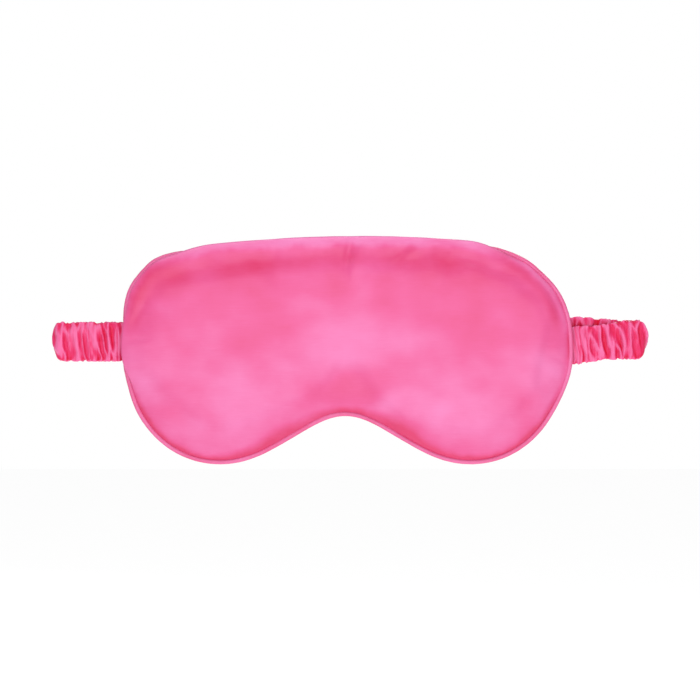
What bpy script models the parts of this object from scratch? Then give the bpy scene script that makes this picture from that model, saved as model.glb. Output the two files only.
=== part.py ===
# Sleep eye mask: a padded satin mask with a piped rim, on a gathered elastic strap.
# Metres, +Z up. The mask stands as it is worn, its satin face towards -Y and the wearer's face on +Y.
# The origin is the middle of the side that lies on the face.

import math

import bmesh
import bpy
from mathutils import Vector
from mathutils.geometry import interpolate_bezier

# The mask's outline, from its right end to its middle. Each knot is x, z, the direction that the
# outline runs in (degrees), and its handle lengths before and after.
HALF_WIDTH = 0.105
WIDEST_Z = 0.0044
TOP_KNOTS = [
    (HALF_WIDTH, WIDEST_Z, 90, 0, 0.023),
    (0.0907, 0.0397, 136, 0.0105, 0.0173),
    (0, 0.0529, 180, 0.0302, 0),
]
BOTTOM_KNOTS = [
    (HALF_WIDTH, WIDEST_Z, 270, 0, 0.0357),
    (0.0585, -0.0531, 180, 0.0255, 0.0135),
    (0.0255, -0.0413, 150, 0.0116, 0.0103),
    (0, -0.0306, 180, 0.0088, 0),
]
QUARTER_SAMPLES = 16
CURVE_SAMPLES = 200  # points read from each curve between two knots, before they are spaced evenly
SPINE_HALF = 0.062  # the domes rise from the rim to a spine line this long each way
SPINE_ARCH = 0.009  # and the spine arches over the nose notch by this much
CROWN_POWER = 2.4
CROWN_STEPS = [0.14, 0.34, 0.62, 1]

# The mask's layers: the seam's place, the cloth and the gaps, the domes' rise, and how far each
# layer's rim stands in from the outline.
SEAM_Y = -0.005
CLOTH = 0.0005
GAP = 0.0003
PAD_GAP = 0.00035
CROWN = 0.00365
FLANGE_INSET = 0.005
PANEL_INSET = 0.00295
INNER_INSET = 0.0053
PAD_INSET = 0.0059

PIPING_RADIUS = 0.0014
PIPING_WALL = 0.0004
PIPING_ARC_STEPS = 9
FLANGE_HALF = 0.00055
SLIT_HALF = 0.00015
CORD_RADIUS = 0.0007

# The strap: a casing with an elastic inside, folded flat behind the mask at rest.
STRAP_Z = 0.0035
STRAP_HEIGHT = 0.018
CASING_DEPTH = 0.003
CASING_WALL = 0.0005
CASING_CORNER = 0.0009
ELASTIC_HEIGHT = 0.012
ELASTIC_DEPTH = 0.001
ELASTIC_CORNER = 0.0002
TAIL_DEPTH = 0.0024
TAIL_WALL = 0.0004
TAIL_LENGTH = 0.0045
TAIL_Y = -0.0021
SEAM_AXIS = (HALF_WIDTH, -0.0006)
FOLD_AXIS = (0.13555, -0.00015)
BEND_AXIS = (0.038, 0.0003)
CENTRE_HALF_GAP = 0.0005  # the loop is opened at its centre back
LAYER_HALF_GAP = 0.00045  # half the gap between the strap's two layers where it lies folded
FOLD_STEPS = 8
LIFT_HALF = 0.014  # the back panel's rim is lifted this far above and below the strap's middle
LIFT_FADE = 0.012
STRAP_LIFT = CROWN - 0.0001

STITCH_HALF_LENGTH = 0.014
STITCH_RADIUS = 0.00015
STITCH_COUNT = 14
STITCH_INSET = 0.0024
STITCH_BACK = 0.0016
STITCH_WANDER = 0.0001

MERGE = 0.00001
SHARP_ANGLE = 40  # edges sharper than this, in degrees, are drawn crisp

SATIN = (0.90, 0.09, 0.30)
SATIN_DEEP = (0.80, 0.05, 0.22)
BLACK = (0.02, 0.02, 0.02)
WHITE = (0.85, 0.84, 0.82)
THREAD = (0.86, 0.10, 0.32)


def make_collection(name):
    collection = bpy.data.collections.new(name)
    bpy.context.scene.collection.children.link(collection)
    return collection


def make_material(name, colour, roughness):
    material = bpy.data.materials.new(name)
    material.use_nodes = True
    shader = material.node_tree.nodes["Principled BSDF"]
    shader.inputs["Base Color"].default_value = (*colour, 1)
    shader.inputs["Roughness"].default_value = roughness
    shader.inputs["Metallic"].default_value = 0
    return material


def quarter_outline(knots):
    """QUARTER_SAMPLES + 1 points (x, z), evenly spaced along the curve through the knots."""
    fine = []
    for (x0, z0, turn0, _, after), (x1, z1, turn1, before, _) in zip(knots, knots[1:]):
        start, end = Vector((x0, z0)), Vector((x1, z1))
        out = Vector((math.cos(math.radians(turn0)), math.sin(math.radians(turn0))))
        back = Vector((math.cos(math.radians(turn1)), math.sin(math.radians(turn1))))
        fine += interpolate_bezier(start, start + out * after, end - back * before, end, CURVE_SAMPLES)
    lengths = [0]
    for a, b in zip(fine, fine[1:]):
        lengths.append(lengths[-1] + (b - a).length)
    points, k = [], 0
    for i in range(QUARTER_SAMPLES + 1):
        target = lengths[-1] * i / QUARTER_SAMPLES
        while k < len(fine) - 2 and lengths[k + 1] < target:
            k += 1
        span = lengths[k + 1] - lengths[k]
        points.append(fine[k].lerp(fine[k + 1], (target - lengths[k]) / span if span else 0))
    return points


def closed_outline():
    """The whole rim as (x, z), counter-clockwise from the right end."""
    top, bottom = quarter_outline(TOP_KNOTS), quarter_outline(BOTTOM_KNOTS)
    mirror = Vector((-1, 1))
    over = top + [p * mirror for p in reversed(top[:-1])]
    under = [p * mirror for p in bottom[1:]] + list(reversed(bottom[:-1]))
    return over + under[:-1]


OUTLINE = closed_outline()


def inset_outline(distance):
    """The rim moved inwards by a distance, point for point."""
    moved = []
    for i, p in enumerate(OUTLINE):
        along = OUTLINE[(i + 1) % len(OUTLINE)] - OUTLINE[i - 1]
        moved.append(p + Vector((-along.y, along.x)).normalized() * distance)
    return moved


def spine_point(i):
    x = SPINE_HALF * math.cos(2 * math.pi * i / len(OUTLINE))
    return Vector((x, SPINE_ARCH * (1 - (x / SPINE_HALF) ** 2)))


def strap_lift(z):
    """How far the back panel's rim is pushed back over the strap's sewn end: 1 there, 0 away from it."""
    away = min(max((abs(z - STRAP_Z) - LIFT_HALF) / LIFT_FADE, 0), 1)
    return 1 - away * away * (3 - 2 * away)


def dome_rings(insets, rim_y, rise, lift=0):
    """Rings of points (x, y, z) from the rim to the spine. lift raises the rim at both strap ends."""
    rings = []
    for inset in insets:
        ring = inset_outline(inset)
        rings.append([(p.x, rim_y + lift * strap_lift(p.y) * (abs(p.x) > SPINE_HALF), p.y) for p in ring])
    inner = inset_outline(insets[-1])
    for step in CROWN_STEPS:
        height = 1 - (1 - step) ** CROWN_POWER
        ring = []
        for i, p in enumerate(inner):
            q = p.lerp(spine_point(i), step)
            raised = lift * strap_lift(p.y) * (abs(p.x) > SPINE_HALF)
            ring.append((q.x, rim_y + raised + (rise - raised) * height, q.y))
        rings.append(ring)
    return rings


def loft(rings):
    """A bmesh through closed rings of equal length, with the last ring welded along the spine."""
    bm = bmesh.new()
    rows = [[bm.verts.new(point) for point in ring] for ring in rings]
    for near, far in zip(rows, rows[1:]):
        for i in range(len(near)):
            j = (i + 1) % len(near)
            bm.faces.new((near[i], near[j], far[j], far[i]))
    bmesh.ops.remove_doubles(bm, verts=bm.verts, dist=MERGE)
    bmesh.ops.dissolve_degenerate(bm, dist=MERGE, edges=bm.edges)
    return bm


def add_mesh(name, bm, material, pivot):
    mesh = bpy.data.meshes.new(name)
    bm.to_mesh(mesh)
    bm.free()
    mesh.shade_smooth()
    mesh.set_sharp_from_angle(angle=math.radians(SHARP_ANGLE))
    mesh.materials.append(material)
    piece = bpy.data.objects.new(name, mesh)
    PARTS.objects.link(piece)
    hang(piece, pivot)
    return piece


def hang(piece, pivot):
    """Parents a piece to its joint's empty and keeps it where it was modelled."""
    piece.parent = pivot
    piece.matrix_parent_inverse = pivot.matrix_world.inverted()


def thicken(piece, thickness):
    """Gives an open surface its wall, on the side away from its normals."""
    solidify = piece.modifiers.new("wall", "SOLIDIFY")
    solidify.thickness = thickness
    solidify.offset = -1


def add_panel(name, rings, outward, thickness, material):
    """A cloth layer of the mask, its outer side towards outward (-1 front, 1 face side)."""
    bm = loft(rings)
    bmesh.ops.recalc_face_normals(bm, faces=bm.faces)
    facing = sum(face.normal.y * face.calc_area() for face in bm.faces)
    if facing * outward < 0:
        bmesh.ops.reverse_faces(bm, faces=bm.faces)
    thicken(add_mesh(name, bm, material, MASK), thickness)


def add_pad(front_y, back_y, material):
    """The filling: a front and a back dome, joined by a thin edge at the rim."""
    front = dome_rings([PAD_INSET], front_y, -CROWN)
    back = dome_rings([PAD_INSET], back_y, CROWN)
    bm = loft(list(reversed(front)) + back)
    bmesh.ops.recalc_face_normals(bm, faces=bm.faces)
    add_mesh("batting_pad", bm, material, MASK)


def add_path(name, points, cyclic=False, upright=False):
    """A POLY curve through points given in its own plane: XY, or XZ when upright."""
    curve = bpy.data.curves.new(name, "CURVE")
    curve.dimensions = "3D"
    curve.twist_mode = "Z_UP"
    spline = curve.splines.new("POLY")
    spline.points.add(len(points) - 1)
    for target, point in zip(spline.points, points):
        target.co = (*point, 0, 1)
    spline.use_cyclic_u = cyclic
    path = bpy.data.objects.new(name, curve)
    if upright:
        path.rotation_euler.x = math.radians(90)
    return path


def add_section(name, points):
    """A closed cross-section for a path, kept with the guides."""
    section = add_path(name, points, cyclic=True)
    section.data.dimensions = "2D"
    section.data.fill_mode = "NONE"
    section.hide_render = True
    section.display_type = "WIRE"
    GUIDES.objects.link(section)
    return section


def mesh_of_curve(path):
    """The path's swept surface as a bmesh in world space, with its seams welded and its faces out."""
    PARTS.objects.link(path)
    bpy.context.view_layer.update()
    evaluated = path.evaluated_get(bpy.context.evaluated_depsgraph_get())
    mesh = bpy.data.meshes.new_from_object(evaluated)
    bm = bmesh.new()
    bm.from_mesh(mesh)
    bm.transform(path.matrix_world)
    bmesh.ops.remove_doubles(bm, verts=bm.verts, dist=MERGE)
    bmesh.ops.recalc_face_normals(bm, faces=bm.faces)
    bpy.data.objects.remove(path)
    bpy.data.meshes.remove(mesh)
    return bm


def rounded_rectangle(width, height, corner, steps=3):
    points = []
    for turn, (x, y) in enumerate([(1, 1), (-1, 1), (-1, -1), (1, -1)]):
        for k in range(steps + 1):
            angle = math.radians(90 * turn + 90 * k / steps)
            across = x * (width / 2 - corner) + corner * math.cos(angle)
            up = y * (height / 2 - corner) + corner * math.sin(angle)
            points.append((across, up))
    return points


def piping_section():
    """A ring split on the inner side, whose two edges run on as the flange's layers."""
    def arc(radius, half_height):
        start = math.degrees(math.asin(half_height / radius))
        turns = []
        for k in range(PIPING_ARC_STEPS + 1):
            turns.append(math.radians(start + (360 - 2 * start) * k / PIPING_ARC_STEPS))
        return [(radius * math.cos(t), radius * math.sin(t)) for t in turns]

    end = FLANGE_INSET - PIPING_RADIUS
    outer = arc(PIPING_RADIUS, FLANGE_HALF)
    inner = arc(PIPING_RADIUS - PIPING_WALL, SLIT_HALF)
    flange_end = [(end, -FLANGE_HALF), (end, -SLIT_HALF)]
    points = [(end, FLANGE_HALF)] + outer + flange_end + list(reversed(inner)) + [(end, SLIT_HALF)]
    return [(-x, y) for x, y in points]  # a section's +X points out of the rim


def add_piping(satin, white):
    centreline = inset_outline(PIPING_RADIUS)
    sleeve = add_path("piping_path", centreline, cyclic=True, upright=True)
    sleeve.location.y = SEAM_Y
    sleeve.data.bevel_mode = "OBJECT"
    sleeve.data.bevel_object = add_section("piping_section", piping_section())
    add_mesh("piping_sleeve", mesh_of_curve(sleeve), satin, MASK)
    cord = add_path("piping_cord", centreline, cyclic=True, upright=True)
    cord.location.y = SEAM_Y
    cord.data.bevel_depth = CORD_RADIUS
    cord.data.bevel_resolution = 2
    add_mesh("piping_cord", mesh_of_curve(cord), white, MASK)


def add_closing_stitch(material):
    """One hand-sewn thread, in the groove behind the piping at the top centre."""
    z = TOP_KNOTS[-1][1] - STITCH_INSET
    points = []
    for k in range(2 * STITCH_COUNT + 1):
        x = STITCH_HALF_LENGTH * (k / STITCH_COUNT - 1)
        points.append((x, z + STITCH_WANDER * (-1) ** k))
    thread = add_path("closing_stitch", points, upright=True)
    thread.location.y = SEAM_Y + STITCH_BACK
    thread.data.bevel_depth = STITCH_RADIUS
    thread.data.bevel_resolution = 1
    thread.data.use_fill_caps = True
    add_mesh("closing_stitch", mesh_of_curve(thread), material, MASK)


def add_casing(name, points, section, wall, material, pivot):
    """A hollow length of the gathered casing, open at both ends."""
    path = add_path(name, points)
    path.location.z = STRAP_Z
    path.data.bevel_mode = "OBJECT"
    path.data.bevel_object = section
    thicken(add_mesh(name, mesh_of_curve(path), material, pivot), wall)


def add_elastic(name, points, material, pivot):
    path = add_path(name, points)
    path.location.z = STRAP_Z
    path.data.bevel_mode = "OBJECT"
    path.data.bevel_object = ELASTIC_SECTION
    path.data.use_fill_caps = True
    add_mesh(name, mesh_of_curve(path), material, pivot)


def add_axis(name, x, y, parent):
    empty = bpy.data.objects.new(name, None)
    empty.empty_display_size = 0.01
    PARTS.objects.link(empty)
    empty.parent = parent
    empty.location = Vector((x, y, 0)) - (parent.matrix_world.translation if parent else Vector())
    bpy.context.view_layer.update()
    return empty


def strap_paths():
    """Centrelines of the right half of the strap, in plan, from the seam to the centre back."""
    arm_y = FOLD_AXIS[1] - LAYER_HALF_GAP - CASING_DEPTH / 2
    run_y = FOLD_AXIS[1] + LAYER_HALF_GAP + CASING_DEPTH / 2
    radius = (run_y - arm_y) / 2
    tail_end = SEAM_AXIS[0] - GAP
    turn = []
    for k in range(FOLD_STEPS + 1):
        angle = math.pi * (k / FOLD_STEPS - 0.5)
        turn.append((FOLD_AXIS[0] + radius * math.cos(angle), FOLD_AXIS[1] + radius * math.sin(angle)))
    return {
        "tail": [(tail_end - TAIL_LENGTH, TAIL_Y), (tail_end, TAIL_Y)],
        "arm": [(SEAM_AXIS[0] + GAP, arm_y), (FOLD_AXIS[0] - GAP, arm_y)],
        "fold": turn,
        "run": [(FOLD_AXIS[0] - GAP, run_y), (BEND_AXIS[0] + GAP / 2, run_y)],
        "centre": [(BEND_AXIS[0] - GAP / 2, run_y), (CENTRE_HALF_GAP, run_y)],
    }


def add_strap(side, word, satin, tail_satin, white):
    """One half of the strap. side is 1 for +X and -1 for -X."""
    arm = add_axis(f"arm_{word}_axis", side * SEAM_AXIS[0], SEAM_AXIS[1], MASK)
    run = add_axis(f"run_{word}_axis", side * FOLD_AXIS[0], FOLD_AXIS[1], arm)
    centre = add_axis(f"centre_{word}_axis", side * BEND_AXIS[0], BEND_AXIS[1], run)
    pivots = {"tail": MASK, "arm": arm, "fold": arm, "run": run, "centre": centre}
    for part, points in strap_paths().items():
        points = [(side * x, y) for x, y in points]
        if part == "tail":
            add_casing(f"casing_tail_{word}", points, TAIL_SECTION, TAIL_WALL, tail_satin, MASK)
        else:
            add_casing(f"casing_{part}_{word}", points, CASING_SECTION, CASING_WALL, satin, pivots[part])
        add_elastic(f"elastic_{part}_{word}", points, white, pivots[part])


for startup in list(bpy.data.objects):
    bpy.data.objects.remove(startup)

PARTS = make_collection("sleep_eye_mask")
GUIDES = make_collection("guides")
MASK = add_axis("mask_origin", 0, 0, None)
CASING_SECTION = add_section("casing_section", rounded_rectangle(CASING_DEPTH, STRAP_HEIGHT, CASING_CORNER))
TAIL_SECTION = add_section("tail_section", rounded_rectangle(TAIL_DEPTH, STRAP_HEIGHT, CASING_CORNER))
elastic_outline = rounded_rectangle(ELASTIC_DEPTH, ELASTIC_HEIGHT, ELASTIC_CORNER, 1)
ELASTIC_SECTION = add_section("elastic_section", elastic_outline)

front_satin = make_material("front_satin", SATIN, 0.35)
back_satin = make_material("back_satin", SATIN, 0.38)
piping_satin = make_material("piping_satin", SATIN_DEEP, 0.38)
casing_satin = make_material("casing_satin", SATIN, 0.36)
tail_satin = make_material("tail_satin", SATIN_DEEP, 0.4)
lining_cloth = make_material("lining_cloth", BLACK, 0.9)
batting = make_material("batting", WHITE, 0.95)
cord_cotton = make_material("cord_cotton", WHITE, 0.9)
elastic_white = make_material("elastic_white", WHITE, 0.8)
sewing_thread = make_material("sewing_thread", THREAD, 0.6)

front_rim = SEAM_Y - FLANGE_HALF - GAP - CLOTH
back_rim = SEAM_Y + FLANGE_HALF + GAP + CLOTH
lining_rings = dome_rings([INNER_INSET], front_rim + CLOTH + GAP, -CROWN)
add_panel("front_panel", dome_rings([PANEL_INSET, INNER_INSET], front_rim, -CROWN), -1, CLOTH, front_satin)
add_panel("blackout_lining", lining_rings, -1, CLOTH, lining_cloth)
add_pad(front_rim + 2 * CLOTH + GAP + PAD_GAP, back_rim - CLOTH - PAD_GAP, batting)
back_rings = dome_rings([PANEL_INSET, INNER_INSET], back_rim, CROWN, lift=STRAP_LIFT)
add_panel("back_panel", back_rings, 1, CLOTH, back_satin)
add_piping(piping_satin, cord_cotton)
add_closing_stitch(sewing_thread)
add_strap(1, "right", casing_satin, tail_satin, elastic_white)
add_strap(-1, "left", casing_satin, tail_satin, elastic_white)
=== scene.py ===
import math

import bpy
import numpy as np
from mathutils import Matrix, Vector, noise
from mathutils.geometry import interpolate_bezier


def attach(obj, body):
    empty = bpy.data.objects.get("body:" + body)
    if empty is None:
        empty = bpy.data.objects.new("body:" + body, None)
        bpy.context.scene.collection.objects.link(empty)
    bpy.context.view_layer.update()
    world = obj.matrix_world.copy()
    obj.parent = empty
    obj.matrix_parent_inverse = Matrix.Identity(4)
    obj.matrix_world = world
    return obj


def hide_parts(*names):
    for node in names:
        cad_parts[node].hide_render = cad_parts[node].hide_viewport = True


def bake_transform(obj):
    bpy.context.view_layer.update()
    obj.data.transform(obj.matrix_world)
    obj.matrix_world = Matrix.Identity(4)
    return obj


# Satin sleep eye mask: padded covers, piping and a gathered elastic strap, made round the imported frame.
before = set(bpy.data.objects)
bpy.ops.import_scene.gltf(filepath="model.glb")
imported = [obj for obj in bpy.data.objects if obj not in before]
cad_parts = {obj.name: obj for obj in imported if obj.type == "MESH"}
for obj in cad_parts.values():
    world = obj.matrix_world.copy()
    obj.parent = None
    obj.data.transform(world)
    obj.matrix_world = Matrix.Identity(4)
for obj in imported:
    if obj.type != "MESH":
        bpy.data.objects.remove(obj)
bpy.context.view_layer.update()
print("frame loaded with", len(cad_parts), "nodes")


def deselectAll():
    bpy.ops.object.select_all(action="DESELECT")


def makeActive(piece):
    deselectAll()
    piece.select_set(True)
    bpy.context.view_layer.objects.active = piece


def applyAll(piece):
    makeActive(piece)
    for modifier in list(piece.modifiers):
        bpy.ops.object.modifier_apply(modifier=modifier.name)


def addPiece(name, points, faces):
    mesh = bpy.data.meshes.new(name)
    mesh.from_pydata(np.asarray(points, float).tolist(), [], faces)
    mesh.shade_smooth()
    piece = bpy.data.objects.new(name, mesh)
    bpy.context.scene.collection.objects.link(piece)
    return piece


def thicken(piece, thickness):
    # a cloth wall, added on the inner side
    wall = piece.modifiers.new("wall", "SOLIDIFY")
    wall.thickness, wall.offset = thickness, -1
    applyAll(piece)


def meshPoints(piece):
    points = np.empty(len(piece.data.vertices) * 3, np.float32)
    piece.data.vertices.foreach_get("co", points)
    return points.reshape(-1, 3).astype(float)


def setPoints(piece, points):
    piece.data.vertices.foreach_set("co", np.asarray(points, np.float32).ravel())
    piece.data.update()


def setAttribute(piece, name, values):
    attribute = piece.data.attributes.new(name, "FLOAT", "POINT")
    attribute.data.foreach_set("value", np.asarray(values, np.float32).ravel())


def finishPiece(piece, material, replaced, body=None):
    piece.data.materials.clear()
    piece.data.materials.append(material)
    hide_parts(*replaced)
    if body:
        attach(piece, body)


def ease(value, low, high):
    # 0 below low, 1 above high, smooth between
    share = np.clip((np.asarray(value, float) - low) / (high - low), 0, 1)
    return share * share * (3 - 2 * share)


def noiseAt(*points):
    # Perlin noise at each point of three arrays, which broadcast together
    spread = np.broadcast_arrays(*points)
    flat = np.stack([part.ravel() for part in spread], 1)
    values = [noise.noise(Vector(point)) for point in flat.tolist()]
    return np.array(values).reshape(spread[0].shape)


def skin(name, rings, closedAlong=False, flip=False):
    # a tube through rings[along][around], with a UV map: metres along, and the share of the way round
    rings = np.asarray(rings, float)
    along, around = rings.shape[:2]
    steps = np.linalg.norm(np.diff(rings.mean(1), axis=0), axis=1)
    lengths = np.concatenate([[0], np.cumsum(steps)])
    faces, uvs = [], []
    for i in range(along if closedAlong else along - 1):
        k = (i + 1) % along
        far = lengths[k] if k else lengths[-1] + steps[0]
        for j in range(around):
            m = (j + 1) % around
            face = [i * around + j, i * around + m, k * around + m, k * around + j]
            corners = [(lengths[i], j), (lengths[i], j + 1), (far, j + 1), (far, j)]
            if flip:
                face.reverse()
                corners.reverse()
            faces.append(face)
            uvs += [(a, b / around) for a, b in corners]
    piece = addPiece(name, rings.reshape(-1, 3), faces)
    layer = piece.data.uv_layers.new(name="weave")
    layer.data.foreach_set("uv", np.array(uvs, np.float32).ravel())
    return piece


class Wire:
    # one output socket, with arithmetic that adds Math nodes
    def __init__(self, tree, socket=None):
        self.tree, self.socket = tree, socket

    def node(self, kind, output=0, settings=(), **inputs):
        made = self.tree.nodes.new(kind)
        for key, value in dict(settings).items():
            setattr(made, key, value)
        for key, value in inputs.items():
            place = int(key[2:]) if key[2:].isdigit() else key.replace("_", " ")
            if isinstance(value, Wire):
                self.tree.links.new(value.socket, made.inputs[place])
            else:
                made.inputs[place].default_value = value
        return Wire(self.tree, made.outputs[output])

    def maths(self, operation, first, second):
        return self.node("ShaderNodeMath", settings={"operation": operation}, at0=first, at1=second)

    def __add__(self, other):
        return self.maths("ADD", self, other)

    def __radd__(self, other):
        return self.maths("ADD", other, self)

    def __sub__(self, other):
        return self.maths("SUBTRACT", self, other)

    def __rsub__(self, other):
        return self.maths("SUBTRACT", other, self)

    def __mul__(self, other):
        return self.maths("MULTIPLY", self, other)

    def __rmul__(self, other):
        return self.maths("MULTIPLY", other, self)

    def ranged(self, low, high):
        return self.node("ShaderNodeMapRange", Value=self, From_Min=low, From_Max=high)

    def mapped(self, scale=(1, 1, 1), turn=0.0):
        turned = (0, math.radians(turn), 0)
        return self.node("ShaderNodeMapping", Vector=self, Scale=scale, Rotation=turned)

    def clouds(self, scale, detail=2.0, roughness=0.5):
        return self.node("ShaderNodeTexNoise", Vector=self, Scale=scale, Detail=detail, Roughness=roughness)

    def stripes(self, scale, direction="X", distortion=0.0):
        settings = {"bands_direction": direction}
        return self.node("ShaderNodeTexWave", 1, settings, Vector=self, Scale=scale, Distortion=distortion)

    def mixed(self, first, second):
        # this wire is the factor between two colours, each a wire or three numbers
        first, second = ((*c, 1) if isinstance(c, tuple) else c for c in (first, second))
        return self.node("ShaderNodeMix", 2, {"data_type": "RGBA"}, at0=self, at6=first, at7=second)

    def bumped(self, strength, distance, below=None):
        extra = {"Normal": below} if below else {}
        return self.node("ShaderNodeBump", Height=self, Strength=strength, Distance=distance, **extra)


def startMaterial(name, **constants):
    material = bpy.data.materials.new(name)
    material.use_nodes = True
    shader = material.node_tree.nodes["Principled BSDF"]
    for key, value in constants.items():
        shader.inputs[key.replace("_", " ")].default_value = value
    return material, Wire(material.node_tree)


def join(material, **wires):
    shader = material.node_tree.nodes["Principled BSDF"]
    for key, wire in wires.items():
        material.node_tree.links.new(wire.socket, shader.inputs[key.replace("_", " ")])
    return material


# lit and shaded copies of the satin's pink, mixed by painted highlight and shade: light, middle and deep on
# the covers, crest, slope and valley on the gathered strap
satin = {
    "light": (0.76, 0.205, 0.45),
    "middle": (0.70, 0.088, 0.262),
    "deep": (0.62, 0.032, 0.125),
    "crest": (0.78, 0.150, 0.34),
    "slope": (0.70, 0.034, 0.135),
    "valley": (0.60, 0.002, 0.025),
    "roughness": 0.40,
}


def startSatin(name, specular=0.5, tint=(1.0, 0.80, 1.0, 1.0), sheen=0.12):
    return startMaterial(
        name,
        Specular_IOR_Level=specular,
        Specular_Tint=tint,
        Sheen_Weight=sheen,
        Sheen_Roughness=0.4,
        Sheen_Tint=(1.0, 0.66, 0.90, 1.0),
    )


def satinWeave(place, turn=0.0):
    # long fine floats of thread, with a slub here and there
    floats = place.mapped((230, 1, 5200), turn).clouds(1.0, 2.0, 0.6)
    slubs = place.mapped((90, 1, 1500), turn).clouds(1.0, 1.0, 0.5)
    return floats, slubs


def coverSatin(name, lift=0.0):
    # glow is painted on the cover: 0 where the cloth turns away, 1 where it shines
    material, start = startSatin(name)
    place = start.node("ShaderNodeTexCoord", 3)
    glow = start.node("ShaderNodeAttribute", 2, {"attribute_name": "glow"})
    floats, slubs = satinWeave(place)
    blotches = place.mapped((1, 1, 1.25)).clouds(34.0, 3.0, 0.55).ranged(0.3, 0.7)
    tone = glow + blotches * 0.22 + floats * 0.16 + slubs * 0.10 + (lift - 0.24)
    lower = tone.ranged(0.0, 0.5).mixed(satin["deep"], satin["middle"])
    colour = tone.ranged(0.5, 1.0).mixed(lower, satin["light"])
    rough = floats * 0.16 + blotches * 0.06 + (satin["roughness"] - 0.11)
    normal = floats.bumped(0.25, 0.00010)
    normal = blotches.bumped(0.12, 0.0009, normal)
    return join(material, Base_Color=colour, Roughness=rough, Normal=normal)


def pipingSatin():
    # cut on the bias, so the weave runs aslant; front is a painted highlight: 1 along the face of the piping
    # and 0 on its sides
    material, start = startSatin("pipingSatin")
    place = start.node("ShaderNodeTexCoord", 3)
    floats, slubs = satinWeave(place, 45.0)
    blotches = place.clouds(60.0, 3.0, 0.55).ranged(0.3, 0.7)
    front = start.node("ShaderNodeAttribute", 2, {"attribute_name": "front"})
    tone = front * 0.55 + blotches * 0.30 + floats * 0.2 + slubs * 0.1 - 0.34
    colour = tone.mixed(satin["deep"], satin["light"])
    rough = floats * 0.15 + (satin["roughness"] - 0.12)
    return join(material, Base_Color=colour, Roughness=rough, Normal=floats.bumped(0.3, 0.0001))


def gatheredSatin():
    # ridge is painted shade and highlight: 0 in the dark bottom of a gather and 1 on its shining crest
    material, start = startSatin("gatheredSatin", 0.22, (1.0, 0.5, 0.7, 1.0), 0.0)
    place = start.node("ShaderNodeUVMap", settings={"uv_map": "weave"}).mapped((1, 0.042, 1))
    floats = place.mapped((5200, 260, 1)).clouds(1.0, 2.0, 0.6)
    patches = place.clouds(150.0, 2.0, 0.5).ranged(0.3, 0.7)
    ridge = start.node("ShaderNodeAttribute", 2, {"attribute_name": "ridge"})
    pleats = place.mapped((1050, 110, 1)).clouds(1.0, 2.0, 0.5).ranged(0.3, 0.7)
    tone = ridge * 1.10 + patches * 0.12 + pleats * 0.36 + floats * 0.08 - 0.26
    lower = tone.ranged(0.0, 0.46).mixed(satin["valley"], satin["slope"])
    colour = tone.ranged(0.50, 0.95).mixed(lower, satin["crest"])
    rough = floats * 0.12 + (satin["roughness"] - 0.16)
    return join(material, Base_Color=colour, Roughness=rough, Normal=floats.bumped(0.25, 0.0001))


def blackoutCloth():
    material, start = startMaterial("blackoutCloth", Specular_IOR_Level=0.2, Sheen_Weight=0.1)
    place = start.node("ShaderNodeTexCoord", 3)
    threads = place.stripes(900.0, "X", 0.4) * 0.5 + place.stripes(900.0, "Z", 0.4) * 0.5
    cloud = place.clouds(60.0, 3.0, 0.6)
    colour = (threads * 0.6 + cloud * 0.4).mixed((0.008, 0.008, 0.009), (0.03, 0.03, 0.032))
    return join(material, Base_Color=colour, Roughness=cloud * 0.1 + 0.8, Normal=threads.bumped(0.4, 0.0002))


def wadding():
    material, start = startMaterial("wadding", Specular_IOR_Level=0.1, Sheen_Weight=0.4)
    place = start.node("ShaderNodeTexCoord", 3)
    fibres = place.mapped((1, 3, 1)).clouds(900.0, 5.0, 0.75)
    tufts = place.clouds(120.0, 4.0, 0.6)
    height = fibres + tufts
    colour = (height * 0.5).mixed((0.70, 0.69, 0.67), (0.93, 0.93, 0.91))
    return join(material, Base_Color=colour, Roughness=tufts * 0.1 + 0.85, Normal=height.bumped(0.8, 0.0006))


def twisted(name, dark, light, pitch, roughness):
    # strands that run round a cord or a thread at a slant
    material, start = startMaterial(name, Specular_IOR_Level=0.3)
    place = start.node("ShaderNodeUVMap", settings={"uv_map": "weave"}).mapped((pitch, 3.0, 1))
    strands = place.stripes(1.0, "DIAGONAL", 0.3)
    colour, bumps = strands.mixed(dark, light), strands.bumped(0.6, 0.0002)
    return join(material, Base_Color=colour, Roughness=strands * 0.1 + roughness, Normal=bumps)


def elasticWebbing():
    # ribs of rubber along the band, crossed by the knitted covering
    material, start = startMaterial("elasticWebbing", Specular_IOR_Level=0.3)
    place = start.node("ShaderNodeUVMap", settings={"uv_map": "weave"})
    weave = place.mapped((1, 26, 1)).stripes(1.0, "Y") + place.stripes(420.0, "X")
    colour = (weave * 0.5).mixed((0.68, 0.67, 0.65), (0.92, 0.92, 0.90))
    return join(material, Base_Color=colour, Roughness=weave * 0.05 + 0.7, Normal=weave.bumped(0.5, 0.0002))


cloths = {
    "front": coverSatin("frontSatin"),
    "back": coverSatin("backSatin", lift=0.04),
    "piping": pipingSatin(),
    "gathered": gatheredSatin(),
    "blackout": blackoutCloth(),
    "wadding": wadding(),
    "cotton": twisted("cottonCord", (0.66, 0.63, 0.58), (0.90, 0.88, 0.84), 500.0, 0.8),
    "thread": twisted("sewingThread", (0.62, 0.03, 0.16), (0.90, 0.14, 0.36), 12.0, 0.5),
    "elastic": elasticWebbing(),
}
print("materials made")


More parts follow.
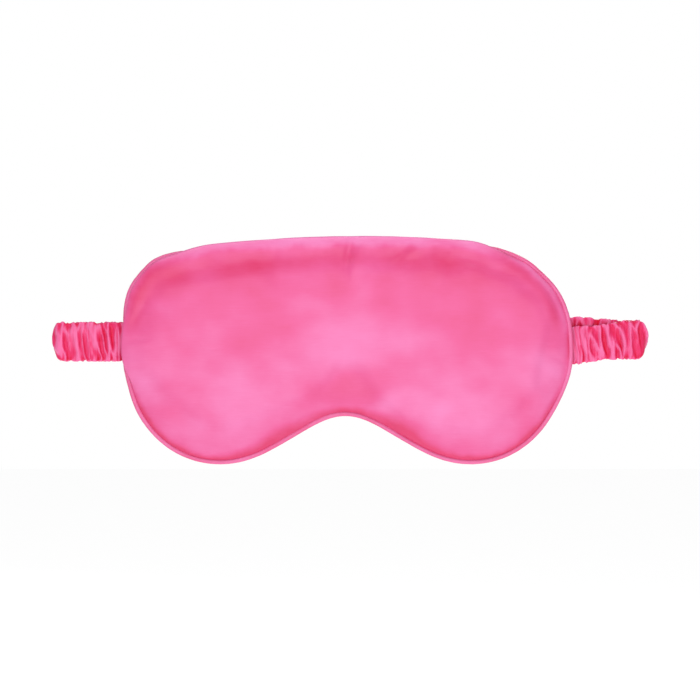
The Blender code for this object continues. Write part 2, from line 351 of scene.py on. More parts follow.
maskShape = {
    # x, z, direction in degrees, handle before and after, from the right end to the middle
    "top": [
        (0.105, 0.0044, 90, 0, 0.023),
        (0.0907, 0.0397, 136, 0.0105, 0.0173),
        (0, 0.0529, 180, 0.0302, 0),
    ],
    "bottom": [
        (0.105, 0.0044, 270, 0, 0.0357),
        (0.0585, -0.0531, 180, 0.0255, 0.0135),
        (0.0255, -0.0413, 150, 0.0116, 0.0103),
        (0, -0.0306, 180, 0.0088, 0),
    ],
    "quarterSamples": 120,
    "spineHalf": 0.062,
    "spineArch": 0.009,
    "seamY": -0.005,
    "lean": 0.0033,  # how far the soft top has settled to the left
    "lobeLean": 0.0011,
    "sideBulge": 0.0006,
    # where the top edge rises or sinks: x, width, height
    "topSwells": [(0.070, 0.014, 0.0008), (-0.046, 0.036, -0.0012), (-0.086, 0.010, 0.0008)],
    "seamAllowance": 0.005,
    "cut": (0.215, 0.111),  # the rectangle that holds one panel with its seam allowance
}


def quarterOutline(knots, count):
    fine = []
    for (x0, z0, turn0, _, after), (x1, z1, turn1, before, _) in zip(knots, knots[1:]):
        out = Vector((math.cos(math.radians(turn0)), math.sin(math.radians(turn0)))) * after
        back = Vector((math.cos(math.radians(turn1)), math.sin(math.radians(turn1)))) * before
        start, end = Vector((x0, z0)), Vector((x1, z1))
        fine += interpolate_bezier(start, start + out, end - back, end, 400)
    fine = np.array([tuple(point) for point in fine])
    lengths = np.concatenate([[0], np.cumsum(np.linalg.norm(np.diff(fine, axis=0), axis=1))])
    wanted = np.linspace(0, lengths[-1], count + 1)
    return np.stack([np.interp(wanted, lengths, fine[:, axis]) for axis in (0, 1)], 1)


def closedOutline():
    top, bottom = (quarterOutline(maskShape[part], maskShape["quarterSamples"]) for part in ("top", "bottom"))
    over = np.concatenate([top, top[-2::-1] * (-1, 1)])
    under = np.concatenate([bottom[1:] * (-1, 1), bottom[-2:0:-1]])
    return np.concatenate([over, under])


outline = closedOutline()
rimCount = len(outline)
rimAlong = np.roll(outline, -1, axis=0) - np.roll(outline, 1, axis=0)
inward = np.stack([-rimAlong[:, 1], rimAlong[:, 0]], 1)
inward /= np.linalg.norm(inward, axis=1)[:, None]
rimSteps = np.linalg.norm(np.roll(outline, -1, axis=0) - outline, axis=1)
rimPlace = np.concatenate([[0], np.cumsum(rimSteps)[:-1]])
rimTurn = 2 * math.pi * np.arange(rimCount) / rimCount
spineX = maskShape["spineHalf"] * np.cos(rimTurn)
spine = np.stack([spineX, maskShape["spineArch"] * (1 - (spineX / maskShape["spineHalf"]) ** 2)], 1)


def settled(points):
    # the upper part leans to the left, and the lobes follow a little
    points = np.array(points, float)
    x, z = points[..., 0].copy(), points[..., 2].copy()
    lean = maskShape["lean"] * ease(z, 0.006, 0.044)
    points[..., 0] -= lean + maskShape["lobeLean"] * ease(-z, 0.010, 0.032)
    bulge = maskShape["sideBulge"] * np.sign(x) * ease(np.abs(x), 0.05, 0.10)
    points[..., 0] += bulge * np.exp(-(((z + 0.006) / 0.010) ** 2))
    rise = sum(height * np.exp(-(((x - at) / wide) ** 2)) for at, wide, height in maskShape["topSwells"])
    points[..., 2] += rise * ease(z, 0.015, 0.035)
    return points


def overPiping(x, z):
    # 1 where the cover rolls right over the piping, along the top, less down the left side, and 0 elsewhere
    top = (z > 0.025) * ease(x, -0.101, -0.060) * (1 - ease(x, 0.061, 0.090))
    leftCorner = 0.45 * (x < -0.05) * (z > 0)
    leftSide = 0.86 * (x < -0.08) * np.exp(-(((z - 0.003) / 0.017) ** 4))
    return np.maximum(np.maximum(top, leftCorner), leftSide)


def evenOut(values, reach):
    # a running average round the rim
    window = np.hanning(2 * reach + 1)
    padded = np.concatenate([values[-reach:], values, values[:reach]])
    return np.convolve(padded, window / window.sum(), "valid")


rimCover = evenOut(overPiping(outline[:, 0], outline[:, 1]), 9)


frontCover = {
    "rings": 44,
    "seamInset": 0.0018,
    "seamDepth": 0.0006,
    "crown": 0.0052,
    "shoulder": 0.0050,  # how far in from the seam the padding takes to fill out
    "roll": 0.0026,  # how far the cloth rises above its seam along the top edge
    "rollPeak": 0.0028,
    "rollReach": 0.017,
    "bandAt": 0.0098,  # the dip below the seam allowance, along the top
    "bandWidth": 0.0030,
    "bandDepth": 0.0010,
    "cap": 0.0012,  # the most that the stuffing may push the cloth, by a soft limit
    "wall": 0.0004,
}
backCover = {
    "rings": 38,
    "seamInset": 0.0020,
    "seamDepth": 0.0007,
    "crown": 0.0042,
    "shoulder": 0.007,
    "strapLift": 0.0041,
    "cap": 0.0007,
    "wall": 0.0004,
}
stuffing = {"pressure": 3.0, "slack": -0.014, "bending": 0.4, "frames": 22, "calming": 30}

# soft folds in the front: x, z, direction in degrees, length, width, height
frontFolds = [
    (0.0035, 0.0450, 84, 0.016, 0.0016, -0.0011),
    (0.0080, 0.0430, 74, 0.022, 0.0022, 0.0009),
    (0.0120, 0.0330, 84, 0.030, 0.0045, 0.0005),
    (0.0275, 0.0455, 48, 0.012, 0.0022, -0.0008),
    (0.0320, 0.0450, 32, 0.012, 0.0020, 0.0006),
    (0.0600, 0.0415, -24, 0.026, 0.0018, -0.0005),
    (-0.0600, 0.0380, 16, 0.040, 0.0034, -0.0006),
    (-0.0960, 0.0180, 62, 0.016, 0.0016, -0.0005),
    (-0.0980, 0.0050, 12, 0.012, 0.0014, -0.0004),
    (0.0985, 0.0200, -66, 0.022, 0.0015, -0.0004),
    (0.0980, -0.0040, -14, 0.012, 0.0014, -0.0004),
    (0.0210, -0.0330, -42, 0.020, 0.0035, -0.0007),
    (-0.0180, -0.0290, 28, 0.022, 0.0040, -0.0006),
    (-0.0350, -0.0400, 30, 0.036, 0.0042, -0.0007),
]
# painted highlights and shade, where the satin shines or turns away: x, z, half-length, half-height,
# direction in degrees, amount
frontGlow = [
    (0.002, 0.004, 0.034, 0.015, 0, 0.35),
    (0.009, 0.030, 0.020, 0.007, 82, 0.24),
    (-0.048, -0.020, 0.044, 0.020, -12, 0.26),
    (0.054, -0.022, 0.046, 0.018, 12, 0.28),
    (-0.080, 0.033, 0.010, 0.005, 20, -0.22),
    (-0.040, 0.039, 0.040, 0.004, 6, -0.20),
    (0.060, 0.034, 0.028, 0.007, -18, -0.20),
    (0.045, 0.016, 0.030, 0.010, -20, -0.06),
    (0.000, -0.020, 0.020, 0.008, 0, -0.22),
    (0.021, -0.0235, 0.010, 0.006, 40, 0.20),
    (0.0295, -0.0350, 0.0115, 0.0048, -25, -0.42),
    (-0.094, -0.014, 0.012, 0.016, 0, 0.22),
    (0.094, -0.016, 0.016, 0.020, 0, 0.14),
    (-0.050, -0.035, 0.036, 0.012, 5, 0.20),
    (0.052, -0.035, 0.036, 0.012, -5, 0.18),
]


def besideStrap(points):
    # 1 behind the sewn ends of the strap, 0 away from them
    return (1 - ease(np.abs(points[:, 1] - 0.0035), 0.011, 0.019)) * ease(np.abs(points[:, 0]), 0.080, 0.092)


def coverRings(cover, side):
    # side is -1 for the front and 1 for the side that lies on the face
    seam = outline + inward * cover["seamInset"]
    reach = np.linalg.norm(spine - seam, axis=1)
    wander = 0.0016 * noiseAt(rimPlace * 85, 0.0, 4.0) + 0.0007 * noiseAt(rimPlace * 260, 0.0, 8.0)
    rings, distances = [], []
    for share in (np.arange(cover["rings"] + 1) / cover["rings"]) ** 1.35:
        flat = seam + (spine - seam) * share
        distance = reach * share
        rise = cover["crown"] * (1 - np.exp(-distance / cover["shoulder"]))
        if side > 0:
            rise = np.maximum(rise, cover["strapLift"] * besideStrap(flat))
        else:
            upper = 0.35 + 0.65 * rimCover
            dip = np.exp(-(((distance - cover["bandAt"] - wander) / cover["bandWidth"]) ** 2))
            rise -= cover["bandDepth"] * dip * upper * ease(seam[:, 1], 0.005, 0.030)
        ring = np.stack([flat[:, 0], maskShape["seamY"] + side * (cover["seamDepth"] + rise), flat[:, 1]], 1)
        if side < 0:
            peak = cover["rollPeak"]
            rising = cover["roll"] * np.sin(np.clip(distance / peak, 0, 1) * math.pi / 2)
            rising = rising + np.minimum(distance, peak)
            rolled = rimCover * rising * (1 - ease(distance, peak, cover["rollReach"]))
            ring[:, 0] -= inward[:, 0] * rolled
            ring[:, 2] -= inward[:, 1] * rolled
        rings.append(ring)
        distances.append(distance)
    return np.array(rings), np.array(distances)


def closeOnSpine(rings):
    # points and faces for rings whose last one closes along the spine
    count = len(rings)
    inner = (count - 1) * rimCount
    half = rimCount // 2
    last = (rings[-1][: half + 1] + rings[-1][(-np.arange(half + 1)) % rimCount]) / 2
    faces = []
    for k in range(count - 1):
        for i in range(rimCount):
            j = (i + 1) % rimCount
            far = [(k + 1) * rimCount + j, (k + 1) * rimCount + i]
            if k == count - 2:
                far = [inner + min(j, rimCount - j), inner + min(i, rimCount - i)]
            faces.append(list(dict.fromkeys([k * rimCount + i, k * rimCount + j, *far])))
    return np.concatenate([rings[:-1].reshape(-1, 3), last]), faces


def makeCover(name, cover, side):
    rings, distances = coverRings(cover, side)
    points, faces = closeOnSpine(rings)
    if side > 0:
        faces = [face[::-1] for face in faces]
    distance = np.concatenate([distances[:-1].ravel(), distances[-1][: rimCount // 2 + 1]])
    return addPiece(name, points, faces), distance


def puffOut(piece, distance, cap):
    # the stuffing pushes the slack cloth out, the seam holds its edge, and a soft limit keeps the push small
    before = meshPoints(piece)
    held = piece.vertex_groups.new(name="seam")
    held.add(np.flatnonzero(distance < 0.0004).tolist(), 1.0, "REPLACE")
    cloth = piece.modifiers.new("cloth", "CLOTH")
    settings = cloth.settings
    settings.quality = 6
    settings.mass = 0.1
    settings.tension_stiffness = settings.compression_stiffness = 12
    settings.shear_stiffness = 4
    settings.bending_stiffness = stuffing["bending"]
    settings.air_damping = 2
    settings.use_pressure = True
    settings.uniform_pressure_force = stuffing["pressure"]
    settings.vertex_group_mass = "seam"
    settings.shrink_min = stuffing["slack"]
    settings.effector_weights.gravity = 0
    cloth.collision_settings.use_collision = False
    cloth.point_cache.frame_start, cloth.point_cache.frame_end = 1, stuffing["frames"]
    for number in range(1, stuffing["frames"] + 1):
        bpy.context.scene.frame_set(number)
    applyAll(piece)
    bpy.context.scene.frame_set(1)
    piece.vertex_groups.clear()
    moved = meshPoints(piece) - before
    edges = np.array([edge.vertices[:] for edge in piece.data.edges])
    ends = np.concatenate([edges, edges[:, ::-1]])
    neighbours = np.bincount(ends[:, 0], minlength=len(before))[:, None]
    for _ in range(stuffing["calming"]):
        sums = [np.bincount(ends[:, 0], moved[ends[:, 1], axis], len(before)) for axis in range(3)]
        moved += 0.5 * (np.stack(sums, 1) / neighbours - moved) * (distance > 0.0004)[:, None]
    far = np.linalg.norm(moved, axis=1)
    most, usual = round(far.max() * 1000, 2), round(far.mean() * 1000, 2)
    print(piece.name, "pushed", most, "mm at most,", usual, "on average, before the limit")
    moved *= (cap * (1 - np.exp(-far / cap)) / np.maximum(far, 1e-9))[:, None]
    setPoints(piece, before + moved)


def alongFold(points, x, z, turn):
    # each point's place along and across a line through x, z
    c, s = math.cos(math.radians(turn)), math.sin(math.radians(turn))
    dx, dz = points[:, 0] - x, points[:, 2] - z
    return dx * c + dz * s, dz * c - dx * s


def crease(piece, distance, side, seed, folds=(), puckers=0.00035, swell=0.0004):
    # pressed folds, slow swells over the padding, and puckers that fade in from the seam
    points = meshPoints(piece)
    x, z = points[:, 0], points[:, 2]
    push = swell * (0.7 * noiseAt(x * 22, z * 30, seed) + 0.3 * noiseAt(x * 48, z * 60, seed + 7))
    push *= np.minimum(distance / 0.012, 1)
    turn = np.arctan2(z, x * 0.5)
    tight = noiseAt(turn * 26, distance * 90, seed) + 0.6 * noiseAt(turn * 60, distance * 200, seed + 3)
    push += puckers * tight * np.exp(-distance / 0.0045) * np.minimum(distance / 0.0012, 1)
    for foldX, foldZ, way, length, width, height in folds:
        runs, across = alongFold(points, foldX, foldZ, way)
        wobble = across + 0.25 * width * np.sin(runs / length * 5)
        fold = height * np.exp(-((runs / length * 2) ** 2) - (wobble / width) ** 2)
        push += fold * ease(distance, 0.0005, 0.004)
    points[:, 1] += side * push
    setPoints(piece, points)


# amounts of the painted highlights and shade on the covers
glowShape = {
    "base": 0.43,
    "broad": 0.17,
    "fine": 0.11,
    "topShine": 0.42,
    "topShade": 0.16,
    "cornerShine": (0.0018, 0.0020, 0.30),  # distance from the seam, width, amount
    "cornerShade": (0.0060, 0.0028, -0.20),
    "grooveShadeWidth": (0.0022, 0.0038),  # all along, and what is added beside the nose
    "seamPullShade": 0.5,
}


def paintGlow(piece, distance, patches, rim, seed):
    # where the satin looks light or dark, painted as an attribute: it does not follow the light
    points = meshPoints(piece)
    x, z = points[:, 0], points[:, 2]
    glow = glowShape["base"] + glowShape["broad"] * noiseAt(x * 34, z * 50, seed)
    glow += glowShape["fine"] * noiseAt(x * 90, z * 120, seed + 5)
    for patchX, patchZ, length, height, way, amount in patches:
        runs, across = alongFold(points, patchX, patchZ, way)
        glow += amount * np.exp(-((runs / length) ** 2) - (across / height) ** 2)
    ragged = distance + 0.0010 * noiseAt(x * 110, z * 70, seed) + 0.0006 * noiseAt(x * 320, z * 200, seed + 9)
    # painted highlight where the cloth rolls over the top edge, and painted shade just below
    top = ease(z, 0.030, 0.042) * ease(x, -0.095, -0.060) * (1 - ease(x, 0.058, 0.080))
    below = glowShape["topShade"] * np.exp(-(((ragged - 0.0100) / 0.0030) ** 2))
    glow += top * (glowShape["topShine"] * (1 - ease(ragged, 0.0048, 0.0078)) - below)
    corner = (ease(x, 0.062, 0.084) + ease(-x, 0.064, 0.086)) * ease(z, 0.004, 0.016)
    for at, wide, amount in (glowShape["cornerShine"], glowShape["cornerShade"]):
        glow += corner * amount * np.exp(-(((ragged - at) / wide) ** 2))
    # painted shade in the groove along the seam, stronger low down and wider beside the nose, none where the
    # top band or corners shine
    low = ease(-z, 0.010, 0.032)
    beside = np.exp(-(((np.abs(x + 0.002) - 0.030) / 0.017) ** 2)) * low
    narrow, added = glowShape["grooveShadeWidth"]
    grooveShade = np.exp(-((np.maximum(ragged, 0) / (narrow + added * beside)) ** 2.6))
    glow -= rim * (0.20 + 0.80 * low) * (1 - np.maximum(top, corner)) * grooveShade
    # painted shade where the seam is pulled tight, where the strap is sewn in
    pullShade = np.exp(-(((z - 0.0015) / 0.0065) ** 4) - (distance / 0.0010) ** 2)
    glow -= glowShape["seamPullShade"] * (x > 0.09) * pullShade
    setAttribute(piece, "glow", glow)


def innerLayer(name, source, skipped, depth, wall):
    # a layer that follows a cover from inside, cut back from the seam by some rings
    normals = np.empty(len(source.data.vertices) * 3, np.float32)
    source.data.vertices.foreach_get("normal", normals)
    drop = skipped * rimCount
    points = (meshPoints(source) - normals.reshape(-1, 3) * depth)[drop:]
    faces = [[v - drop for v in face.vertices] for face in source.data.polygons]
    piece = addPiece(name, points, [face for face in faces if min(face) >= 0])
    thicken(piece, wall)
    return piece


padding = {"frontRings": 10, "backRings": 8, "belowFront": 0.0016, "belowBack": 0.0009}


def buildPad(front, back):
    # one closed body of wadding, between the lining and the back cover
    halves = []
    for source, skipped in ((front, padding["frontRings"]), (back, padding["backRings"])):
        drop = skipped * rimCount
        faces = [[v - drop for v in face.vertices] for face in source.data.polygons]
        halves.append([meshPoints(source)[drop:], [face for face in faces if min(face) >= 0]])
    (frontPoints, frontFaces), (backPoints, backFaces) = halves
    rim = (frontPoints[:rimCount] + backPoints[:rimCount]) / 2
    frontPoints[:, 1] += padding["belowFront"]
    backPoints[:, 1] -= padding["belowBack"]
    frontPoints[:rimCount] = rim
    shift = len(frontPoints) - rimCount
    backFaces = [[v if v < rimCount else v + shift for v in face] for face in backFaces]
    points = np.concatenate([frontPoints, backPoints[rimCount:]])
    return addPiece("wadding_pad", points, frontFaces + backFaces)


def buildCovers():
    front, frontDistance = makeCover("front_satin_cover", frontCover, -1)
    back, backDistance = makeCover("back_satin_cover", backCover, 1)
    puffOut(front, frontDistance, frontCover["cap"])
    puffOut(back, backDistance, backCover["cap"])
    crease(front, frontDistance, -1, 3.0, frontFolds)
    crease(back, backDistance, 1, 11.0, puckers=0.0003, swell=0.00025)
    lining = innerLayer("blackout_layer", front, 8, 0.0007, 0.0004)
    pad = buildPad(front, back)
    paintGlow(front, frontDistance, frontGlow, 0.62, 21.0)
    paintGlow(back, backDistance, [], 0.45, 33.0)
    for piece in (front, back, lining, pad):
        setPoints(piece, settled(meshPoints(piece)))
    thicken(front, frontCover["wall"])
    thicken(back, backCover["wall"])
    finishPiece(front, cloths["front"], ["front_panel"], "mask")
    finishPiece(back, cloths["back"], ["back_panel"], "mask")
    finishPiece(lining, cloths["blackout"], ["blackout_lining"], "mask")
    finishPiece(pad, cloths["wadding"], ["batting_pad"], "mask")


buildCovers()
print("covers and padding made")


piping = {
    "radius": 0.00118,
    "wall": 0.0004,
    "flangeHalf": 0.00045,
    "slitHalf": 0.00012,
    "flangeEnd": 0.0050,
    "cordRadius": 0.00070,
    "pressedIn": 0.0006,  # the rolled cover holds the piping in and back
    "pressedBack": 0.0004,
    "stripWidth": 0.015,
}


def splitArc(radius, halfHeight, count):
    start = math.asin(halfHeight / radius)
    turns = np.linspace(start, 2 * math.pi - start, count)
    return np.stack([radius * np.cos(turns), radius * np.sin(turns)], 1)


def pipingSection():
    # a split ring whose two edges run on inwards as the sewn flange: inwards, forwards
    end, outside, inside = piping["flangeEnd"] - piping["radius"], piping["flangeHalf"], piping["slitHalf"]
    outer = splitArc(piping["radius"], outside, 22)
    inner = splitArc(piping["radius"] - piping["wall"], inside, 14)[::-1]
    edges = [[end, -outside], [end, -inside]]
    return np.concatenate([[[end, outside]], outer, edges, inner, [[end, inside]]])


def buildPiping():
    line = outline + inward * piping["radius"]
    line += inward * (piping["pressedIn"] * ease(rimCover, 0.60, 1.02))[:, None]
    centres = np.stack([line[:, 0], maskShape["seamY"] + piping["pressedBack"] * rimCover, line[:, 1]], 1)
    inward3 = np.stack([inward[:, 0], np.zeros(rimCount), inward[:, 1]], 1)[:, None, :]
    forward = np.array([0, -1.0, 0])
    section = pipingSection()
    offsets = section[:, :1] * inward3 + section[:, 1:] * forward
    swell = 0.05 * noiseAt(rimPlace * 350, 0.0, 5.0) + 0.035 * noiseAt(rimPlace * 1100, 0.0, 9.0)
    onCord = section[:, 0] < piping["radius"] - 0.0001
    offsets *= 1 + swell[:, None, None] * onCord[None, :, None]
    sleeve = skin("piping_satin_sleeve", settled(centres[:, None, :] + offsets), closedAlong=True)
    # a painted highlight along the face of the piping, kept as the front attribute
    face = np.exp(-(((section[:, 1] - piping["radius"]) / 0.00075) ** 2))
    setAttribute(sleeve, "front", np.tile(face, rimCount))
    turns = np.linspace(0, 2 * math.pi, 13)[:-1, None]
    circle = piping["cordRadius"] * (np.cos(turns) * inward3 + np.sin(turns) * forward)
    cord = skin("piping_cotton_cord", settled(centres[:, None, :] + circle), closedAlong=True)
    finishPiece(sleeve, cloths["piping"], ["piping_sleeve"], "mask")
    finishPiece(cord, cloths["cotton"], ["piping_cord"], "mask")


buildPiping()
print("piping made")


strap = {
    "middleZ": 0.0035,
    "halfHeight": 0.0086,
    "halfDepth": 0.00085,
    "ridge": 0.0016,
    "pressed": 0.38,  # how much of a gather is left where the strap lies against something
    "step": 0.00027,
    "around": 72,
    "wall": 0.00022,
    "armY": -0.0021,
    "runY": 0.0018,
    "tailX": 0.1004,
    "cutX": 0.1325,
    "foldX": 0.1356,
    "foldShift": {"right": 0.0013, "left": -0.0012},
    # how far each corner of the fold is rounded, along the strap and up or down: top, bottom
    "foldCorner": {
        "right": ((0.0027, 0.0034), (0.0027, 0.0031)),
        "left": ((0.0014, 0.0019), (0.0024, 0.0034)),
    },
    # how far up the arm lies at the seam and at the fold, and the run behind it
    "rise": {"right": (-0.0013, 0.0017, 0.0033), "left": (0.0007, 0.0007, 0.0008)},
    "waist": {"right": 0.0009, "left": 0.0001},  # narrowest half way between the seam and the fold
    "lean": {"right": 0.0016, "left": -0.0009},
    "seed": {"right": 3.0, "left": 41.0},
    "fullness": 1.22,  # length of casing cloth to each length of strap
    "stripWidth": 0.042,
    "elasticHalf": (0.0060, 0.0005),
}


def strapRoute(word):
    # the strap's line seen from above, from its sewn end round the fold to the centre back
    shift = strap["foldShift"][word]
    middle, radius = (strap["runY"] + strap["armY"]) / 2, (strap["runY"] - strap["armY"]) / 2
    turns = np.linspace(-math.pi / 2, math.pi / 2, 41)
    bend = np.stack([strap["foldX"] + shift + radius * np.cos(turns), middle + radius * np.sin(turns)], 1)
    points = np.concatenate([[[strap["tailX"], strap["armY"]]], bend, [[0, strap["runY"]]]])
    lengths = np.concatenate([[0], np.cumsum(np.linalg.norm(np.diff(points, axis=0), axis=1))])
    wanted = np.linspace(0, lengths[-1], int(lengths[-1] / strap["step"]) + 1)
    line = np.stack([np.interp(wanted, lengths, points[:, axis]) for axis in (0, 1)], 1)
    return line, wanted


gatherShape = {
    "drift": (0.0012, 0.0005),  # how far the crests wander, broadly and finely
    "pitch": {"crests": 385, "rolls": 640, "crumple": 1100},
    "share": {"crests": 0.68, "rolls": 0.42, "crumple": 0.22},
}


def gatherField(place, turns, seed, lean):
    # height of the gathers, 0 to 1: crests that lean, wander and meet
    s, up, out = place[:, None], np.sin(turns)[None, :], np.cos(turns)[None, :]
    broad, fine = gatherShape["drift"]
    pitch, share = gatherShape["pitch"], gatherShape["share"]
    drift = broad * noiseAt(s * 120, up * 0.9 + seed, out * 0.7)
    drift = drift + fine * noiseAt(s * 380, up * 1.8, out * 1.2 + seed)
    s = s + drift + lean * up
    crests = 1 - 3.4 * np.abs(noiseAt(s * pitch["crests"], up * 0.50 + seed, out * 0.45))
    rolls = 0.5 + 1.5 * noiseAt(s * pitch["rolls"], up * 0.65 - seed, out * 0.6)
    crumple = 0.9 * noiseAt(s * pitch["crumple"], up * 2.6, out * 2.4 + seed) * np.abs(up) ** 3
    field = share["crests"] * crests + share["rolls"] * rolls + share["crumple"] * crumple
    return ease(field, -0.34, 1.02)


def gathers(lengths, turns, word):
    # tighter beside the seam, and the same on both halves where they meet at the centre back
    tight = lengths + 0.0035 * (1 - np.exp(-lengths / 0.005))
    own = gatherField(tight, turns, strap["seed"][word], strap["lean"][word])
    left = lengths[-1] - lengths
    shared = gatherField(np.sqrt(left**2 + 0.0015**2), turns, 70.0, 0.0)
    return shared + (own - shared) * ease(left, 0.004, 0.013)[:, None]


def gatherLight(height, turns, side):
    # how light the satin looks: crests shine, one flank of each turns away, and the inner side is in shade
    slope = np.gradient(height, strap["step"], axis=0)
    flank = np.clip(0.5 + 0.00065 * side * slope, 0, 1)
    return 0.60 * height + 0.46 * flank - 0.22 * ease(-np.cos(turns), 0.1, 0.6)[None, :]


def strapRise(word, x, onRun):
    # the two layers of the strap don't lie exactly one behind the other
    atSeam, atFold, behind = strap["rise"][word]
    along = ease(x, 0.102, 0.134)
    arm = atSeam + (atFold - atSeam) * along
    run = (behind + (atFold - behind) * along) * ease(x, 0.020, 0.090)
    return np.where(onRun, run, arm)


def strapRings(word):
    side = 1 if word == "right" else -1
    line, lengths = strapRoute(word)
    turns = np.arange(strap["around"]) / strap["around"] * 2 * math.pi
    height = gathers(lengths, turns, word)
    out, up = np.cos(turns), np.sin(turns)
    flat = np.sign(out) * np.abs(out) ** 0.6
    tall = np.sign(up) * np.abs(up) ** 0.75
    rim = np.abs(tall) ** 4
    forward = np.gradient(line, axis=0)
    forward /= np.linalg.norm(forward, axis=1)[:, None]
    outwards = np.stack([forward[:, 1], -forward[:, 0]], 1)
    x, y = line.T
    inner = np.where(out < 0, strap["pressed"], 1.0) * (1 - rim) + rim
    sewn = 1 - ease(x, 0.1035, 0.1085)[:, None]  # the sewn end is flattened into the seam
    push = strap["ridge"] * height * inner * (1 - 0.70 * sewn)
    depth = strap["halfDepth"] * (1 - 0.30 * rim)
    sway = 0.0006 * noiseAt(lengths[:, None] * 300, up[None, :] * 2, strap["seed"][word]) * rim
    deep = flat * (depth + push * (1 - 0.5 * rim)) + sway * (1 - sewn)
    cornerX = strap["foldX"] + strap["foldShift"][word] + (strap["runY"] - strap["armY"]) / 2
    above, below = (
        drop * (1 - np.sqrt(1 - 0.96 * np.clip((x - cornerX) / reach + 1, 0, 1) ** 2))
        for reach, drop in strap["foldCorner"][word]
    )
    halfHeight = strap["halfHeight"] - np.where(up > 0, above[:, None], below[:, None])
    onRun = y > (strap["runY"] + strap["armY"]) / 2
    halfHeight -= (strap["waist"][word] * ~onRun * np.exp(-(((x - 0.118) / 0.009) ** 2)))[:, None]
    rise = strapRise(word, x, onRun)
    z = strap["middleZ"] + rise[:, None] + tall * (halfHeight + 0.55 * push * rim)
    across, away = x[:, None] + outwards[:, :1] * deep, y[:, None] + outwards[:, 1:] * deep
    rings = np.stack([side * across, away, z], 2)
    return rings, line, lengths, gatherLight(height, turns, side)


def ringNormals(rings, side):
    # smooth normals of the whole strap, so that its pieces meet without a line
    alongStrap = np.gradient(rings, axis=0)
    aroundStrap = np.roll(rings, -1, axis=1) - np.roll(rings, 1, axis=1)
    normals = side * np.cross(alongStrap, aroundStrap)
    normals[-1, :, 0] = 0  # the halves meet square at the centre back
    return normals / np.maximum(np.linalg.norm(normals, axis=2), 1e-12)[..., None]


def buildStrap(word):
    side = 1 if word == "right" else -1
    z = strap["middleZ"]
    rings, line, lengths, light = strapRings(word)
    normals = ringNormals(rings, side)
    onArm = np.flatnonzero((line[:, 1] < 0) & (line[:, 0] <= strap["cutX"]))
    onRun = np.flatnonzero((line[:, 1] > 0) & (line[:, 0] <= strap["cutX"]))
    arm, run = onArm[-1], onRun[0]
    parts = [
        ("arm", 0, arm, ["tail", "arm"], ("mask", "arm"), (0.1035, 0), (0.1085, 0)),
        ("fold", arm, run, ["fold"], ("arm", "run"), (0.136, -0.0034), (0.136, 0.0031)),
        ("run", run, len(line) - 1, ["run", "centre"], ("run", "centre"), (0.053, 0), (0.023, 0)),
    ]
    for part, first, last, replaced, bodies, start, end in parts:
        bodies = [body if body == "mask" else f"{body}_{word}" for body in bodies]
        start, end = ((side * x, y, z) for x, y in (start, end))
        span = slice(first, last + 1)
        casing = skin(f"strap_casing_{part}_{word}", rings[span], flip=side > 0)
        # the painted highlight and shade of the gathers, kept as the ridge attribute
        setAttribute(casing, "ridge", light[span])
        thicken(casing, strap["wall"])
        outer = normals[span].reshape(-1, 3)
        casing.data.normals_split_custom_set_from_vertices(np.concatenate([outer, -outer]).tolist())
        elastic = elasticBand(f"strap_elastic_{part}_{word}", side, line[span], rings[span])
        for piece, cloth, slot, kind in (
            (casing, "gathered", "casing_satin", "casing"),
            (elastic, "elastic", "elastic_webbing", "elastic"),
        ):
            finishPiece(piece, cloths[cloth], [f"{kind}_{node}_{word}" for node in replaced])
        length = float(lengths[last] - lengths[first])
        for piece in (casing, elastic):
            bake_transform(piece)


def elasticBand(name, side, line, rings):
    # a flat band with a rounded edge, at the middle of the casing
    tall, deep = strap["elasticHalf"]
    turns = np.arange(16) / 16 * 2 * math.pi
    across = deep * np.sign(np.cos(turns)) * np.abs(np.cos(turns)) ** 0.5
    up = tall * np.sign(np.sin(turns)) * np.abs(np.sin(turns)) ** 0.8
    forward = np.gradient(line, axis=0)
    forward /= np.linalg.norm(forward, axis=1)[:, None]
    middle = rings[:, :, 2].mean(1)
    x = side * (line[:, :1] + forward[:, 1:] * across)
    y = line[:, 1:] - forward[:, :1] * across
    z = middle[:, None] + up
    return skin(name, np.stack([x, y, z], 2)[::3], flip=side > 0)


for word in ("right", "left"):
    buildStrap(word)
    print("strap made on the", word)


stitching = {
    "count": 13,
    "from": -0.0165,
    "to": 0.0105,
    "below": 0.0034,
    "radius": 0.00085,
    "thread": 0.00016,
    "slant": 28,
    "slantWander": 7,
    "heightWander": 0.00012,
    "sunk": 0.0001,  # how deep the cut ends of each arch go into the cloth
}


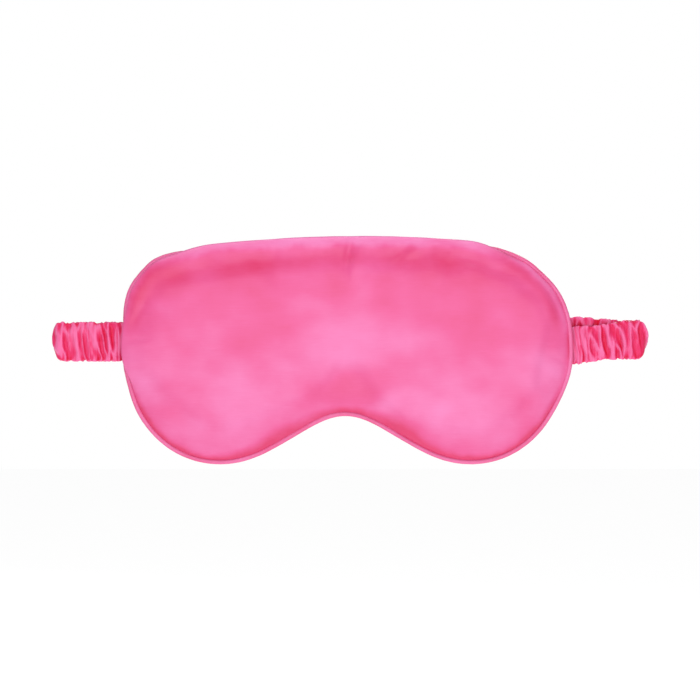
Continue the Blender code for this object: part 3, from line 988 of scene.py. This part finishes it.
def buildStitches():
    # slanted slip stitches close the gap behind the piping, where the mask was turned right side out
    cover = bpy.data.objects["back_satin_cover"]
    rim = settled(np.stack([outline[:, 0], np.zeros(rimCount), outline[:, 1]], 1))
    rim = rim[rim[:, 2] > 0.045]
    rim = rim[np.argsort(rim[:, 0])]
    arches = []
    for k, x in enumerate(np.linspace(stitching["from"], stitching["to"], stitching["count"])):
        z = float(np.interp(x, rim[:, 0], rim[:, 2])) - stitching["below"]
        place = cover.ray_cast((x, 0.05, z), (0, -1, 0))[1]
        deselectAll()
        bpy.ops.mesh.primitive_torus_add(
            major_radius=stitching["radius"],
            minor_radius=stitching["thread"],
            major_segments=28,
            minor_segments=8,
        )
        arch = bpy.context.object
        bpy.ops.object.mode_set(mode="EDIT")
        bpy.ops.mesh.select_all(action="SELECT")
        cut = (0, -stitching["sunk"], 0)
        bpy.ops.mesh.bisect(plane_co=cut, plane_no=(0, 1, 0), clear_inner=True, use_fill=True)
        bpy.ops.object.mode_set(mode="OBJECT")
        slant = math.radians(stitching["slant"] + stitching["slantWander"] * math.sin(2.3 * k))
        arch.rotation_euler = (0, math.radians(90) - slant, 0)
        arch.location = (x, place.y + stitching["sunk"], z + stitching["heightWander"] * math.sin(1.7 * k))
        bpy.ops.object.transform_apply(location=True, rotation=True)
        arches.append(arch)
    deselectAll()
    for arch in arches:
        arch.select_set(True)
    bpy.context.view_layer.objects.active = arches[0]
    bpy.ops.object.join()
    thread = arches[0]
    thread.name = "closing_stitches"
    thread.data.uv_layers[0].name = "weave"
    thread.data.shade_smooth()
    finishPiece(thread, cloths["thread"], ["closing_stitch"], "mask")


buildStitches()
print("closing stitches made")


studio = {
    "aim": (0.0011, -0.005, 0.0003),
    "distance": 0.908,
    "lens": 100,
    "floorZ": -0.30,
    "floorGlow": 0.70,
    "ambient": 0.36,
}
# place, what it points at, size, power in watts
lamps = {
    "frontKey": ((0.05, -1.15, 0.02), (0, 0, 0), (1.3, 0.6), 5.6),
    "topStrip": ((0.0, -0.30, 0.75), (0, 0, 0.02), (0.9, 0.2), 3.6),
    "backFill": ((0.4, 1.1, 0.5), (0, 0, 0), (0.8, 0.8), 7.0),
}


def buildStudio():
    scene = bpy.context.scene
    low = (0, 0, studio["floorZ"])
    bpy.ops.mesh.primitive_grid_add(x_subdivisions=8, y_subdivisions=8, size=8, location=low)
    floor = bpy.context.object
    floor.name = "pale_floor"
    material, start = startMaterial(
        "palePaper",
        Roughness=0.9,
        Specular_IOR_Level=0.1,
        Emission_Color=(1, 1, 1, 1),
        Emission_Strength=studio["floorGlow"],
    )
    grain = start.node("ShaderNodeTexCoord", 3).clouds(40.0, 3.0, 0.5)
    paper = grain.mixed((0.74, 0.74, 0.74), (0.78, 0.78, 0.78))
    floor.data.materials.append(join(material, Base_Color=paper))
    world = bpy.data.worlds.new("studioWorld")
    scene.world = world
    world.use_nodes = True
    background = world.node_tree.nodes["Background"]
    background.inputs["Color"].default_value = (1, 1, 1, 1)
    seen = Wire(world.node_tree).node("ShaderNodeLightPath", 0)
    strength = seen * (1.0 - studio["ambient"]) + studio["ambient"]
    world.node_tree.links.new(strength.socket, background.inputs["Strength"])
    for name, (place, target, size, power) in lamps.items():
        light = bpy.data.lights.new(name, "AREA")
        light.shape = "RECTANGLE"
        light.size, light.size_y = size
        light.energy = power
        lamp = bpy.data.objects.new(name, light)
        lamp.location = place
        lamp.rotation_euler = (Vector(target) - Vector(place)).to_track_quat("-Z", "Y").to_euler()
        scene.collection.objects.link(lamp)
    scene.view_settings.view_transform = "Standard"


def buildCamera():
    data = bpy.data.cameras.new("studioCamera")
    data.lens, data.sensor_width = studio["lens"], 36
    data.clip_start, data.clip_end = 0.01, 20
    camera = bpy.data.objects.new("studioCamera", data)
    camera.location = Vector(studio["aim"]) + Vector((0, -studio["distance"], 0))
    camera.rotation_euler = (math.radians(90), 0, 0)
    bpy.context.scene.collection.objects.link(camera)
    bpy.context.scene.camera = camera


buildStudio()
buildCamera()
print("studio made")
